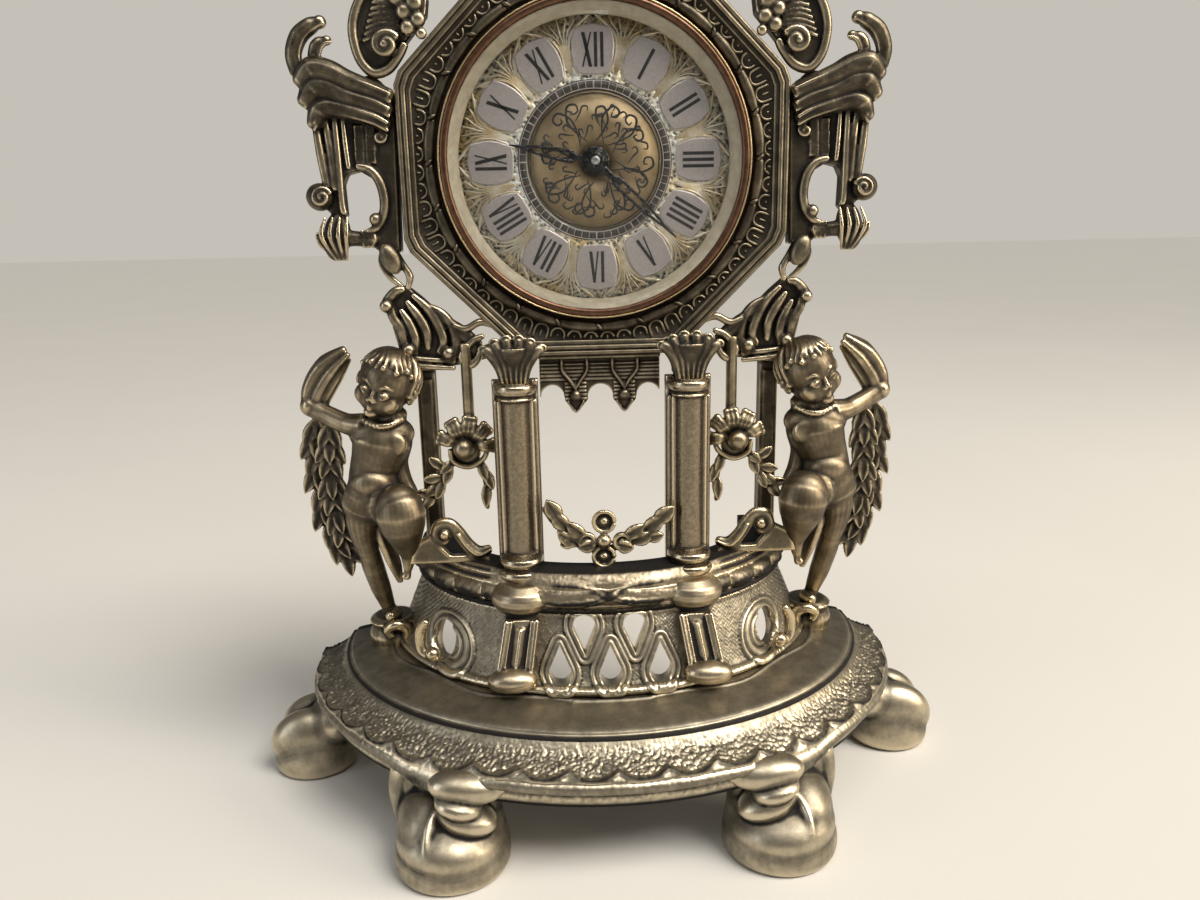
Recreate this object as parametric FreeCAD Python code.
import FreeCAD, Part
import math
import os
from FreeCAD import Vector

# The clock stands on z = 0, faces -Y, and +X is on the viewer's right.
# All sizes are in millimetres. Values whose names end in share or shares are parts of other sizes.

# Number of flat sides that stand for a round outline
large_sides = 30
barrel_sides = 16
small_sides = 10
oval_steps = 18
same_place = 0.000001
same_plane = 0.000000001
full_turn = 360
eighth_turn = 45

# Plinth: half an oval in plan, open behind and below
plinth_half_width = 75.0
plinth_front_depth = 65.0
plinth_widest_y = 23.0
plinth_skirt = 3.0
plinth_wall = 3.0
plinth_underside_z = 18.0
plinth_height = 15.0
plinth_slope_run = 21.0
plinth_profile_shares = (
    (0.00, 0.08), (0.20, 0.08), (0.24, 0.14), (0.32, 0.02), (0.45, 0.00), (0.54, 0.09), (0.70, 0.36),
    (0.73, 0.43), (0.80, 0.39), (0.88, 0.47), (1.00, 1.00))
plinth_hollow_shares = ((0.00, 0.08), (0.45, 0.08), (0.82, 0.50), (0.87, 1.00))

# Feet
front_foot_x = 35.5
front_foot_inset = 10.0
front_foot_y = plinth_widest_y - plinth_front_depth + front_foot_inset
front_foot_half_width = 12.6
front_foot_half_length = 12.0
front_foot_height = 17.0
front_foot_splay = 3.4
front_foot_lean = 7.2
shoe_shares = ((0.00, 0.90, 0.00), (0.10, 0.98, 0.00), (0.34, 1.00, 0.04), (0.62, 0.88, 0.22), (0.84, 0.64, 0.46),
               (1.00, 0.40, 0.66))
collar_low_z = 10.5
collar_shares = ((0.80, 0.00), (1.00, 0.16), (0.84, 0.32), (1.08, 0.50), (0.90, 0.66), (1.16, 0.84), (0.90, 1.00))
collar_radius = 7.4
collar_height = 8.2
collar_x = 30.5
collar_setback = 3.5
collar_y = front_foot_y + collar_setback
side_foot_reach = 1.5
side_foot_x = plinth_half_width + side_foot_reach
side_foot_y = 11.5
side_foot_half_width = 11.5
side_foot_half_length = 10.5
side_foot_height = 17.6
side_foot_splay = 8.0

# Pierced gallery wall, ledge and end consoles
wall_base_half_width = 52.0
wall_base_front_y = -20.0
wall_top_half_width = 46.0
wall_top_front_y = -14.5
wall_top_z = 50.0
wall_thickness = 2.4
wall_border = 1.4
teardrop_pitch = 11.4
teardrop_radius = 2.6
teardrop_length = 8.6
teardrop_low_z = 39.2
teardrop_high_z = 45.6
oval_x = 37.0
oval_z = 40.0
oval_radius = 4.6
console_x = 54.0
console_y = 15.0
console_radius = 6.4
console_height = 6.0
console_shares = ((1.00, 0.00), (1.00, 0.70), (0.86, 0.88), (0.64, 1.00))
ledge_height = 9.0
ledge_run = 3.0
ledge_width = 8.5
ledge_profile_shares = (
    (0.00, 0.30), (0.14, 0.12), (0.20, 0.34), (0.34, -0.05), (0.54, 0.06), (0.62, 0.42), (0.78, 0.50),
    (1.00, 1.00))
scroll_inner_x = 26.5
scroll_length = 15.0
scroll_height = 10.5
scroll_root = 0.8
scroll_front_y = -2.5
scroll_thickness = 3.0
scroll_eye_rise = 0.9
scroll_eye_radius = 2.2
scroll_eye_share = (0.76, 0.66)
scroll_outline_shares = (
    (0.00, 0.00), (1.00, 0.00), (0.97, 0.30), (1.00, 0.60), (0.94, 0.86), (0.80, 1.00), (0.63, 0.96),
    (0.51, 0.78), (0.45, 0.48), (0.34, 0.34), (0.14, 0.31), (0.00, 0.14))

# Columns, pedestals, capitals and pilasters
column_x = 19.6
column_y = -5.0
column_radius = 3.1
column_top_z = 102.4
strip_half_width = 5.2
strip_thickness = 2.4
torus_radius = 5.0
torus_height = 2.8
torus_shares = ((0.94, 0.0), (1.12, 0.5), (0.86, 0.95), (1.0, 1.4), (0.80, 1.9))
ring_radius = 4.3
ring_height = 3.4
ring_shares = ((0.86, 1.0), (0.86, 0.72), (1.0, 0.45), (0.8, 0.0))
cushion_half_width = 7.2
cushion_height = 6.2
cushion_y = -6.8
cushion_shares = ((0.0, 0.80), (0.25, 0.97), (0.6, 1.0), (0.85, 0.9), (1.0, 0.72))
bun_shares = ((0.0, 0.74), (0.3, 1.0), (0.7, 0.94), (1.0, 0.6))
panel_half_width = 4.2
panel_projection = 1.5
panel_bar_half_width = 1.5
bun_height = 4.6
bun_half_width = 5.6
capital_height = 10.0
capital_half_width = 6.4
capital_thickness = 5.0
boss_half_width = 3.0
leaf_count = 5
pilaster_x = 41.2
pilaster_half_width = 2.2
pilaster_y = 9.0
pilaster_depth = 4.0
abacus_height = 3.2
abacus_half_width = 4.4
abacus_shares = ((0.0, 0.62), (0.35, 0.80), (0.65, 1.0))

# Ornaments between the columns and the figures
rosette_x = 30.8
rosette_z = 88.4
rosette_radius = 5.4
rosette_y = 3.0
rosette_thickness = 2.6
rosette_ball = 1.9
rod_radius = 1.3
rod_overlap = 3.0
garland_leaf_length = 5.2
garland_leaf_width = 2.7
garland_leaf_thickness = 1.8
garland_stem_radius = 1.1
swag_drop = 5.0
swag_y = -7.4
swag_z = 69.0
flower_radius = 4.6
flower_thickness = 1.7
petal_shares = ((0, 0.55), (22, 0.86), (45, 1.0), (68, 0.86))

# Cherubs: each place is (out, back, up) and each radius, in shares of the figure's height
figure_height = 69.0
figure_x = 50.0
figure_y = 3.5
figure_foot_z = 39.0
stem_sides = 4
figure_sides = 8
head_sides = 10
head_shares = (
    (-0.012, -0.010, 0.812, 0.040, 0.042), (-0.018, -0.020, 0.842, 0.078, 0.076),
    (-0.024, -0.022, 0.885, 0.093, 0.094), (-0.028, -0.016, 0.935, 0.095, 0.099),
    (-0.031, -0.006, 0.972, 0.074, 0.080), (-0.032, 0.000, 0.997, 0.030, 0.034))
torso_shares = (
    (0.052, 0.000, 0.520, 0.060, 0.052), (0.040, 0.000, 0.560, 0.086, 0.072),
    (0.020, 0.000, 0.640, 0.070, 0.062), (0.008, -0.004, 0.735, 0.084, 0.070),
    (0.000, 0.000, 0.778, 0.060, 0.050), (-0.008, -0.002, 0.830, 0.042, 0.042))
raised_arm_shares = (
    (0.045, 0.010, 0.766, 0.036), (0.105, 0.030, 0.778, 0.032), (0.176, 0.052, 0.822, 0.032),
    (0.226, 0.064, 0.862, 0.034))
forearm_shares = (
    (0.236, 0.064, 0.846, 0.030), (0.226, 0.070, 0.910, 0.042), (0.180, 0.080, 0.985, 0.044),
    (0.122, 0.086, 1.036, 0.020))
lowered_arm_shares = (
    (-0.050, 0.002, 0.758, 0.034), (-0.108, 0.006, 0.690, 0.028), (-0.112, 0.000, 0.610, 0.026),
    (-0.070, -0.024, 0.548, 0.026))
straight_leg_shares = (
    (0.066, 0.006, 0.560, 0.060), (0.088, 0.020, 0.440, 0.056), (0.086, 0.034, 0.330, 0.042),
    (0.080, 0.060, 0.220, 0.044), (0.058, 0.120, 0.070, 0.028), (0.050, 0.130, 0.014, 0.034))
thigh_shares = ((0.020, -0.010, 0.540, 0.062), (-0.012, -0.060, 0.534, 0.070), (-0.042, -0.116, 0.508, 0.060))
calf_shares = (
    (-0.040, -0.100, 0.546, 0.030), (-0.044, -0.104, 0.500, 0.062), (-0.058, -0.062, 0.400, 0.046),
    (-0.078, -0.040, 0.320, 0.034), (-0.080, -0.060, 0.288, 0.038))
festoon_leaf_turns = (-45, 45)
festoon_shares = (
    (0.236, 0.090, 0.826, 0.022), (0.250, 0.100, 0.760, 0.046), (0.246, 0.104, 0.660, 0.052),
    (0.238, 0.104, 0.560, 0.052), (0.210, 0.100, 0.450, 0.046), (0.160, 0.092, 0.350, 0.024))

# Octagonal dial frame
head_rise = 4.0
frame_width = 8.5
head_front_y = 2.5
head_depth = 8.0
border_step = 1.1
border_width = 3.4
border_recess = 1.6
rope_gap = 0.9
rope_width = 1.8
rope_height = 2.2
valance_half_width = 14.2
valance_height = 14.0
valance_thickness = 2.6
valance_front_y = 4.4
arch_radius = 4.1
pendant_width = 3.0

# Side arms, shells, brackets and crest, outlined in shares of their own width and height
arm_width = 20.2
arm_height = 50.0
arm_drop = 20.5
arm_front_y = 4.6
arm_thickness = 4.8
arm_outline_shares = (
    (0.00, 0.05), (0.42, 0.05), (0.51, 0.15), (0.55, 0.24), (0.60, 0.31), (0.71, 0.53), (0.80, 0.59),
    (0.92, 0.60), (1.00, 0.71), (0.95, 0.78), (0.97, 0.87), (0.86, 0.95), (0.68, 1.00), (0.63, 0.98),
    (0.77, 0.91), (0.80, 0.83), (0.68, 0.82), (0.51, 0.81), (0.35, 0.75), (0.17, 0.74), (0.09, 0.76),
    (0.00, 0.76))
arm_hole_shares = (0.25, 0.262, 0.17, 0.11)
arm_band_shares = (((0.02, 0.72), (0.25, 0.70), (0.55, 0.77), (0.80, 0.77), (0.96, 0.68)),
                   ((0.03, 0.65), (0.25, 0.66), (0.55, 0.70), (0.76, 0.70), (0.88, 0.62)),
                   ((0.04, 0.58), (0.25, 0.60), (0.50, 0.63), (0.66, 0.62), (0.78, 0.57)))
arm_band_width = 2.6
arm_band_rise = 1.8
volute_share = (0.77, 0.262)
volute_radius = 3.0
bud_share = 0.58
bud_radius = 2.7
bud_length = 9.0
shell_width = 20.0
shell_height = 20.0
shell_rise = 17.5
shell_overlap = 12.5
shell_front_y = 4.0
shell_thickness = 4.2
shell_outline_shares = (
    (0.20, 0.42), (0.45, 0.20), (0.53, 0.06), (0.66, 0.00), (0.79, 0.01), (0.91, 0.14), (0.98, 0.37),
    (0.97, 0.62), (0.88, 0.82), (0.73, 0.93), (0.54, 1.00), (0.33, 0.94), (0.18, 0.84), (0.04, 0.62))
shell_volute_share = (0.61, 0.33)
shell_volute_radius = 2.5
bracket_width = 23.0
bracket_height = 24.0
bracket_overlap = 20.1
bracket_outline_shares = (
    (0.00, 0.00), (0.95, 0.00), (0.99, 0.10), (0.93, 0.18), (0.95, 0.28), (0.98, 0.38), (0.90, 0.46),
    (0.88, 0.60), (0.92, 0.72), (0.95, 0.86), (0.90, 0.97), (0.84, 1.00), (0.60, 0.70), (0.00, 0.20))
crest_half_width = 31.0
crest_height = 34.0
crest_rise = 29.5
crest_front_y = 4.2
crest_thickness = 4.4
crest_outline_shares = (
    (0.00, 1.00), (0.15, 1.00), (0.17, 0.93), (0.24, 0.86), (0.34, 0.88), (0.47, 0.95), (0.60, 0.90),
    (0.64, 0.80), (0.58, 0.72), (0.66, 0.66), (0.78, 0.70), (0.90, 0.66), (0.98, 0.54), (0.96, 0.40),
    (0.86, 0.30), (0.94, 0.20), (0.80, 0.10), (0.40, 0.10), (0.00, 0.10))
crest_eye_share = (0.45, 0.80)
crest_eye_radius = 1.7
finial_height = 30.0
finial_radius = 6.4
finial_profile_shares = (
    (0.00, 0.00), (0.80, 0.00), (0.80, 0.05), (0.45, 0.09), (0.40, 0.14), (0.86, 0.22), (1.00, 0.32),
    (0.84, 0.42), (0.42, 0.48), (0.58, 0.53), (0.34, 0.58), (0.24, 0.76), (0.10, 0.97), (0.00, 1.00))

# Bezel, glass, dial and hands
bezel_outer_radius = 34.6
bezel_wall = 1.1
bezel_sight_width = 1.2
bezel_lip = 1.3
bezel_proud = 1.5
glass_edge = 1.0
glass_rise = 5.6
glass_bands = 3
surround_width = 3.4
dial_thickness = 0.6
dial_y = 6.2
fit = 0.1
running = 0.05
hour_pipe_radius = 1.7
hour_pipe_wall = 0.5
arbor_radius = 0.9
hand_thickness = 0.4
hand_gap = 0.5
minute_hand_gap = 5.2
hour_hand_gap = 10.6
minute_collar_radius = 2.5
hour_collar_radius = 3.2
nut_radius = 1.7
minute_hand_half_width = 1.8
hour_hand_half_width = 2.1
nut_height = 1.0
minute_now = 22.2
hour_now = 9.37

# Movement: the first train wheels run between two round plates inside a drum-shaped case
case_inset = 2.6
case_wall = 1.0
case_length = 21.5
flange_width = 3.0
flange_thickness = 1.4
screw_count = 4
screw_head_radius = 1.9
screw_head_height = 1.3
screw_shank_radius = 0.9
screw_length = 4.0
slot_width = 0.7
plate_gap = 0.4
plate_thickness = 1.2
plate_spacing = 11.8
front_plate_y = 11.4
pillar_radius = 1.8
pillar_inset = 3.8
pillar_turns = (0, 100, 200, 290)
pivot_radius = 0.5
wheel_thickness = 0.9
pinion_thickness = 2.0
addendum_share = 0.7
dedendum_share = 0.9
wheel_root_share = 0.6
train_module_share = 0.01742
barrel_module_share = 0.0218
barrel_teeth = 36
centre_pinion_teeth = 6
centre_teeth = 30
third_pinion_teeth = 6
third_teeth = 30
escape_pinion_teeth = 6
motion_module = 0.7
cannon_teeth = 6
motion_teeth = 18
motion_pinion_teeth = 6
hour_teeth = 24
barrel_turn = 235
third_turn = 60
escape_turn = 150
motion_turn = 300
barrel_depth = 6.0
barrel_wall = 0.7
spring_turns = 3
spring_thickness = 0.5
escape_teeth = 15
escape_radius_share = 0.1503
lever_place_shares = (-0.3333, 0.4902)
lever_reach_share = 0.1634
lever_width = 1.0
pallet_gap = 0.6
pallet_turn = 38
pallet_width = 1.2
balance_y = 18.6
balance_place_shares = (-0.5556, 0.3333)
balance_radius_share = 0.2418
balance_rim = 1.1
hairspring_turns = 3
hairspring_radius_share = 0.1046
hairspring_thickness = 0.25
hairspring_depth = 0.6
ratchet_teeth = 20
ratchet_radius_share = 0.1961
click_turn = 120
click_lead_turn = 14
click_distance_share = 0.3072
click_radius = 1.2
click_gap = 0.25
staff_radius = 0.7
spring_inner_radius = 2.8
cover_thickness = 1.2
winding_radius = 2.0
winding_square = 1.3
arbor_reach = 3.0
key_clearance = 0.3
key_bow_share = 0.62
key_knob_gap = 1.6
key_pipe_radius = 2.6
key_length = 10.545
key_thickness = 1.6
knob_radius = 4.4
knob_length = 4.2
knob_flutes = 12
overrun = 1.0

# Places worked out from the sizes above
plinth_top_z = plinth_underside_z + plinth_height
ledge_top_z = wall_top_z + ledge_height
head_apothem = bezel_outer_radius + frame_width
head_low_z = column_top_z + head_rise
head_z = head_low_z + head_apothem
arm_low_z = head_z - arm_drop
shell_low_z = head_z + shell_rise
shell_inner_x = head_apothem - shell_overlap
bracket_inner_x = head_apothem - bracket_overlap
crest_low_z = head_z + crest_rise
bezel_bore_radius = bezel_outer_radius - bezel_wall
bezel_sight_radius = bezel_bore_radius - bezel_sight_width
rope_inner_radius = bezel_outer_radius + rope_gap
rope_outer_radius = rope_inner_radius + rope_width
surround_inner_radius = bezel_bore_radius - fit - surround_width
minute_hand_length = surround_inner_radius - minute_hand_gap
hour_hand_length = surround_inner_radius - hour_hand_gap
case_radius = bezel_outer_radius - case_inset
flange_radius = bezel_outer_radius + flange_width
plate_radius = case_radius - case_wall - plate_gap
pillar_circle = plate_radius - pillar_inset
train_module = train_module_share * plate_radius
barrel_module = barrel_module_share * plate_radius
escape_radius = escape_radius_share * plate_radius
lever_reach = lever_reach_share * plate_radius
balance_radius = balance_radius_share * plate_radius
hairspring_radius = hairspring_radius_share * plate_radius
ratchet_radius = ratchet_radius_share * plate_radius
click_distance = click_distance_share * plate_radius
head_back_y = head_front_y + head_depth
frame_floor_y = head_front_y + border_recess
cover_y = head_back_y + case_length
back_plate_y = front_plate_y + plate_thickness + plate_spacing
dial_back_y = dial_y + dial_thickness


def heading(turn):
    return math.cos(math.radians(turn)), math.sin(math.radians(turn))


def panel(outline, front_y, back_y):
    # A flat piece seen from the front, extruded from front_y to back_y
    points = [Vector(x, front_y, z) for x, z in outline]
    face = Part.Face(Part.makePolygon(points + points[:1]))
    return face.extrude(Vector(0, back_y - front_y, 0))


def placed(shares, x, z, width, height):
    return [(x + across * width, z + up * height) for across, up in shares]


def skin(rings, closed=False):
    # A solid whose flat faces join each ring of points to the next; a closed one joins the last to the first
    faces = []
    spans = list(zip(rings, rings[1:] + rings[:1])) if closed else list(zip(rings, rings[1:]))
    for low, high in spans:
        for index in range(len(low)):
            after = (index + 1) % len(low)
            corners = [low[index], low[after], high[after], high[index]]
            faces.extend(flat_faces(corners))
    if not closed:
        faces.extend(flat_faces(rings[0][::-1]))
        faces.extend(flat_faces(rings[-1]))
    shell = Part.makeShell(faces)
    shell.sewShape()
    solid = Part.makeSolid(shell)
    if solid.Volume < 0:
        solid.reverse()
    return solid


def flat_faces(corners):
    # One face through the corners when they are level, or else two triangles
    points = []
    for corner in corners:
        if not points or corner.distanceToPoint(points[-1]) > same_place:
            points.append(corner)
    if points[0].distanceToPoint(points[-1]) <= same_place:
        points.pop()
    if len(points) < 3:
        return []
    if len(points) == 4:
        normal = (points[1] - points[0]).cross(points[2] - points[0])
        lift = abs(normal.dot(points[3] - points[0]))
        if lift > normal.Length * same_plane:
            return [Part.Face(Part.makePolygon([points[0], points[1], points[2], points[0]])),
                    Part.Face(Part.makePolygon([points[0], points[2], points[3], points[0]]))]
    return [Part.Face(Part.makePolygon(points + points[:1]))]


def turned(profile, sides, place):
    # A many-sided turned piece: each (radius, along) pair becomes a ring, set out by place
    if profile[0][0] == 0:
        profile = profile[1:-1]
        closed = False
    else:
        closed = True
    rings = []
    for radius, along in profile:
        ring = []
        for side in range(sides):
            cosine, sine = heading(full_turn * (side + 0.5) / sides)
            ring.append(place(radius * cosine, radius * sine, along))
        rings.append(ring)
    return skin(rings, closed)


def turned_y(profile, x, z, sides):
    # Turned about an axis along Y, from (radius, y) pairs
    return turned(profile, sides, lambda across, up, along: Vector(x + across, along, z + up))


def turned_z(profile, x, y, sides):
    # Turned about an upright axis, from (radius, z) pairs
    return turned(profile, sides, lambda across, up, along: Vector(x + across, y + up, along))


def rod_y(radius, x, z, front_y, back_y, sides=small_sides):
    # A slim round rod along Y
    return turned_disc(radius, x, z, front_y, back_y, sides)


def bore_y(radius, x, z, front_y, back_y, sides=small_sides):
    # A cutter for a round hole along Y whose flat sides clear a rod of the given radius
    return turned_disc(radius / math.cos(math.pi / sides), x, z, front_y, back_y, sides)


def turned_disc(radius, x, z, front_y, back_y, sides):
    return turned_y([(0, front_y), (radius, front_y), (radius, back_y), (0, back_y)], x, z, sides)


def ribbon(path, widths, front_y, back_y):
    # A band of changing width along a path in the front view
    left = []
    right = []
    for index, (x, z) in enumerate(path):
        before = path[max(index - 1, 0)]
        after = path[min(index + 1, len(path) - 1)]
        run = math.hypot(after[0] - before[0], after[1] - before[1])
        side_x = -(after[1] - before[1]) / run
        side_z = (after[0] - before[0]) / run
        half = widths[index] / 2
        left.append((x + side_x * half, z + side_z * half))
        right.append((x - side_x * half, z - side_z * half))
    return panel(left + right[::-1], front_y, back_y)


def oval_ring(place, direction, wide, deep, sides):
    # One many-sided oval, square to a direction, for the lofts of figures and feet
    across = Vector(0, 1, 0).cross(direction)
    if across.Length < 0.3:
        across = Vector(1, 0, 0)
    across.normalize()
    along = direction.cross(across)
    along.normalize()
    points = []
    for side in range(sides):
        cosine, sine = heading(full_turn * (side + 0.5) / sides)
        points.append(place + across * (wide * cosine) + along * (deep * sine))
    return points


def limb(rings, sides):
    # A rounded, tapering form through (place, half width, half depth) rings
    rows = []
    for index, (place, wide, deep) in enumerate(rings):
        before = rings[max(index - 1, 0)][0]
        after = rings[min(index + 1, len(rings) - 1)][0]
        direction = after - before
        direction.normalize()
        rows.append(oval_ring(place, direction, wide, deep, sides))
    return skin(rows)


def leaf(base, tip, width, thickness):
    # A pointed leaf with a raised midrib, as eight flat faces
    run = tip - base
    side = run.cross(Vector(0, 1, 0))
    side.normalize()
    middle = base + run * 0.45
    left = middle + side * (width / 2)
    right = middle - side * (width / 2)
    front = middle - Vector(0, thickness / 2, 0)
    back = middle + Vector(0, thickness / 2, 0)
    faces = []
    for end in (base, tip):
        for first, second in ((left, front), (front, right), (right, back), (back, left)):
            faces.append(Part.Face(Part.makePolygon([end, first, second, end])))
    solid = Part.makeSolid(Part.makeShell(faces))
    if solid.Volume < 0:
        solid.reverse()
    return solid


def oval_row(half_width, front_y, z, back_y):
    # Half an oval in front of the widest line, with straight sides behind it
    depth = plinth_widest_y - front_y
    points = []
    for step in range(oval_steps + 1):
        cosine, sine = heading(180 * step / oval_steps)
        points.append(Vector(-half_width * cosine, plinth_widest_y - depth * sine, z))
    return [Vector(-half_width, back_y, z)] + points + [Vector(half_width, back_y, z)]


def oval_stack(levels, back_y):
    # A solid through half-oval levels, each (z, half width, front y)
    return skin([oval_row(half_width, front_y, z, back_y) for z, half_width, front_y in levels])


def main_solid(shape):
    return max(shape.Solids, key=lambda solid: solid.Volume)


def trimmed(shape, *others):
    for other in others:
        shape = shape.cut(other)
    return main_solid(shape)


def fused(pieces):
    shape = pieces[0]
    for piece in pieces[1:]:
        shape = shape.fuse(piece)
    return shape.removeSplitter()


def mirrored(shape):
    return shape.mirror(Vector(0, 0, 0), Vector(1, 0, 0))


def octagon(apothem, front_y, back_y):
    radius = apothem / math.cos(math.pi / 8)
    corners = []
    for side in range(8):
        cosine, sine = heading((side + 0.5) * eighth_turn)
        corners.append((radius * cosine, head_z + radius * sine))
    return panel(corners, front_y, back_y)


def gear(teeth, module, front_y, thickness, place, turn, bore):
    # A wheel with slim pointed teeth, one of them at the given turn
    pitch = full_turn / teeth
    tip = module * (teeth / 2 + addendum_share)
    root = module * (teeth / 2 - dedendum_share)
    x, z = place
    outline = []
    for tooth in range(teeth):
        middle = turn + tooth * pitch
        for radius, offset_share in ((root, -wheel_root_share / 2), (tip, 0), (root, wheel_root_share / 2)):
            cosine, sine = heading(middle + offset_share * pitch)
            outline.append((x + radius * cosine, z + radius * sine))
    wheel = panel(outline, front_y, front_y + thickness)
    if bore > 0:
        wheel = wheel.cut(bore_y(bore, x, z, front_y - overrun, front_y + thickness + overrun))
    return wheel


def meshed_turn(driver_teeth, driver_turn, direction, teeth):
    # The turn that puts a gap of the driven wheel over a tooth of its driver
    return direction + 180 + 180 / teeth - (driver_turn - direction) * driver_teeth / teeth


def beside(place, distance, turn):
    cosine, sine = heading(turn)
    return place[0] + distance * cosine, place[1] + distance * sine


# Plinth and feet

def plinth_levels(shares, inset):
    levels = []
    for up, inward in shares:
        drop = inset + inward * plinth_slope_run
        levels.append((plinth_underside_z + up * plinth_height, plinth_half_width - drop,
                       plinth_widest_y - plinth_front_depth + drop))
    return levels


def wall_inside(low_z, high_z):
    # The open space behind the gallery wall, cut a little past its ends
    slope = (wall_base_half_width - wall_top_half_width) / (wall_top_z - plinth_top_z)
    lean = (wall_top_front_y - wall_base_front_y) / (wall_top_z - plinth_top_z)
    levels = []
    for z in (low_z, high_z):
        rise = z - plinth_top_z
        levels.append((z, wall_base_half_width - wall_thickness - slope * rise,
                       wall_base_front_y + wall_thickness + lean * rise))
    return oval_stack(levels, plinth_widest_y + plinth_skirt + overrun)


def make_plinth():
    back_y = plinth_widest_y + plinth_skirt
    body = oval_stack(plinth_levels(plinth_profile_shares, 0), back_y)
    levels = plinth_levels(plinth_hollow_shares, plinth_wall)
    low = [(levels[0][0] - overrun, levels[0][1], levels[0][2])]
    body = body.cut(oval_stack(low + levels, back_y + overrun))
    return main_solid(body.cut(wall_inside(plinth_underside_z - overrun, plinth_top_z + overrun)))


def shoe(x, y, half_width, half_length, height, splay, lean):
    # A rounded shoe: its oval sections shrink towards the top and lean back to the plinth
    rings = []
    for up, size, back in shoe_shares:
        place = Vector(x - splay * back, y + lean * back, height * up)
        rings.append((place, half_width * size, half_length * size))
    return limb(rings, small_sides)


def make_front_foot(plinth):
    foot = shoe(front_foot_x, front_foot_y, front_foot_half_width, front_foot_half_length, front_foot_height,
                front_foot_splay, front_foot_lean)
    rings = [(collar_radius * size, collar_low_z + collar_height * up) for size, up in collar_shares]
    collar = turned_z([(0, collar_low_z)] + rings + [(0, collar_low_z + collar_height)], collar_x, collar_y,
                      small_sides)
    return trimmed(foot.fuse(collar), plinth)


def make_side_foot(plinth):
    foot = shoe(side_foot_x, side_foot_y, side_foot_half_width, side_foot_half_length, side_foot_height,
                side_foot_splay, 0)
    return trimmed(foot, plinth)


# Gallery wall, ledge and pedestals

def teardrop(x, z, pointing):
    # A drop-shaped opening whose point looks up (1) or down (-1)
    shoulder = 30
    outline = [(x, z + pointing * (teardrop_length - teardrop_radius))]
    for step in range(7):
        cosine, sine = heading(shoulder - step * (180 + 2 * shoulder) / 6)
        outline.append((x + teardrop_radius * cosine, z + pointing * teardrop_radius * sine))
    return panel(outline, wall_base_front_y * 2, 0)


def make_console(plinth):
    # The scrolled block at the right end of the wall, which a cherub stands on
    low = plinth_top_z - plinth_wall * 0.6
    rings = [(console_radius * size, low + (plinth_top_z + console_height - low) * up) for size, up in console_shares]
    block = turned_z([(0, low)] + rings + [(0, plinth_top_z + console_height)], console_x, console_y, small_sides)
    return block.cut(plinth)


def make_wall(plinth):
    back_y = plinth_widest_y + plinth_skirt
    levels = [(plinth_top_z, wall_base_half_width + wall_border, wall_base_front_y - wall_border),
              (plinth_top_z + wall_border, wall_base_half_width + wall_border, wall_base_front_y - wall_border),
              (plinth_top_z + 2 * wall_border, wall_base_half_width, wall_base_front_y),
              (wall_top_z, wall_top_half_width, wall_top_front_y)]
    wall = oval_stack(levels, back_y)
    wall = wall.cut(wall_inside(plinth_top_z - overrun, wall_top_z + overrun))
    drop_shift = teardrop_length / 2 - teardrop_radius
    for place in (-1, 0, 1):
        wall = wall.cut(teardrop(place * teardrop_pitch, teardrop_low_z - drop_shift, 1))
    for place in (-0.5, 0.5):
        wall = wall.cut(teardrop(place * teardrop_pitch, teardrop_high_z + drop_shift, -1))
    for side in (-1, 1):
        middle = Vector(side * oval_x / 2, plinth_widest_y, oval_z)
        outward = Vector(side * oval_x, wall_base_front_y - plinth_widest_y + oval_radius, 0)
        wall = wall.cut(Part.makeCylinder(oval_radius, 2 * oval_x, middle, outward))
        console = make_console(plinth)
        wall = wall.fuse(console if side > 0 else mirrored(console))
    return main_solid(wall.cut(plinth))


def ledge_levels(inset):
    levels = []
    for up, inward in ledge_profile_shares:
        drop = inset + inward * ledge_run - ledge_run * 0.5
        levels.append((wall_top_z + up * ledge_height, wall_top_half_width - drop, wall_top_front_y + drop))
    return levels


def spiral(centre, start_radius, end_radius, start_turn, end_turn, steps):
    path = []
    for step in range(steps + 1):
        part_way = step / steps
        radius = start_radius + (end_radius - start_radius) * part_way
        cosine, sine = heading(start_turn + (end_turn - start_turn) * part_way)
        path.append((centre[0] + radius * cosine, centre[1] + radius * sine))
    return path


def side_scroll(side):
    # The scroll that rises from the ledge beside a column and ends in a volute
    places = placed(scroll_outline_shares, scroll_inner_x, ledge_top_z - scroll_root, scroll_length, scroll_height)
    back_y = scroll_front_y + scroll_thickness
    plate = panel([(side * x, z) for x, z in places], scroll_front_y, back_y)
    eye_x = side * (scroll_inner_x + scroll_eye_share[0] * scroll_length)
    eye_z = ledge_top_z - scroll_root + scroll_eye_share[1] * scroll_height
    eye = turned_y([(0, scroll_front_y - scroll_eye_rise), (scroll_eye_radius * 0.6, scroll_front_y - scroll_eye_rise),
                    (scroll_eye_radius, scroll_front_y + overrun), (0, scroll_front_y + overrun)], eye_x, eye_z,
                   figure_sides)
    return plate.fuse(eye)


def make_ledge(standing):
    back_y = plinth_widest_y + plinth_skirt - ledge_run * 0.5
    ledge = oval_stack(ledge_levels(0), back_y)
    low_z = wall_top_z - overrun
    high_z = ledge_top_z + overrun
    inside = oval_stack([(low_z, wall_top_half_width - ledge_width, wall_top_front_y + ledge_width),
                         (high_z, wall_top_half_width - ledge_width, wall_top_front_y + ledge_width)],
                        back_y + overrun)
    ledge = ledge.cut(inside)
    for side in (-1, 1):
        ledge = ledge.fuse(side_scroll(side))
    return trimmed(ledge, *standing)


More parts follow.
